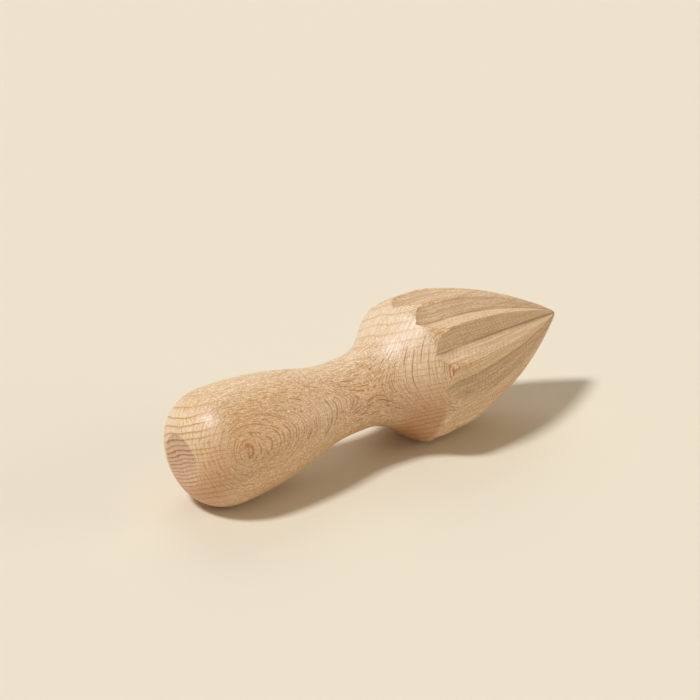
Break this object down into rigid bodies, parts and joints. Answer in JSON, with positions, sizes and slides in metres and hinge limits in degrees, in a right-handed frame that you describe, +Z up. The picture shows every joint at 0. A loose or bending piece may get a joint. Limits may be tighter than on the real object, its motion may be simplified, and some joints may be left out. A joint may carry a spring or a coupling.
{
  "type": "citrus reamer",
  "caption": "One-piece turned wooden hand reamer for citrus: rounded handle with a small flat butt, slim neck, flared shoulder and a pointed head with sharp straight flutes.",
  "frame": {"origin": "on the table, under the middle of the reamer as it lies at rest on its handle and the rim of its head", "axes": "+X towards the tip of the head, +Y to the left seen from the butt, +Z up; the turning axis lies in the XZ plane and rises about 4 degrees towards the tip"},
  "size_m": [0.1552, 0.049, 0.0494],
  "materials": {
    "beech": "bare steamed beech, finely sanded, satin, with growth rings and ray flecks"
  },
  "bodies": {
    "root": {"reamer": "beech"}
  },
  "joints": []
}
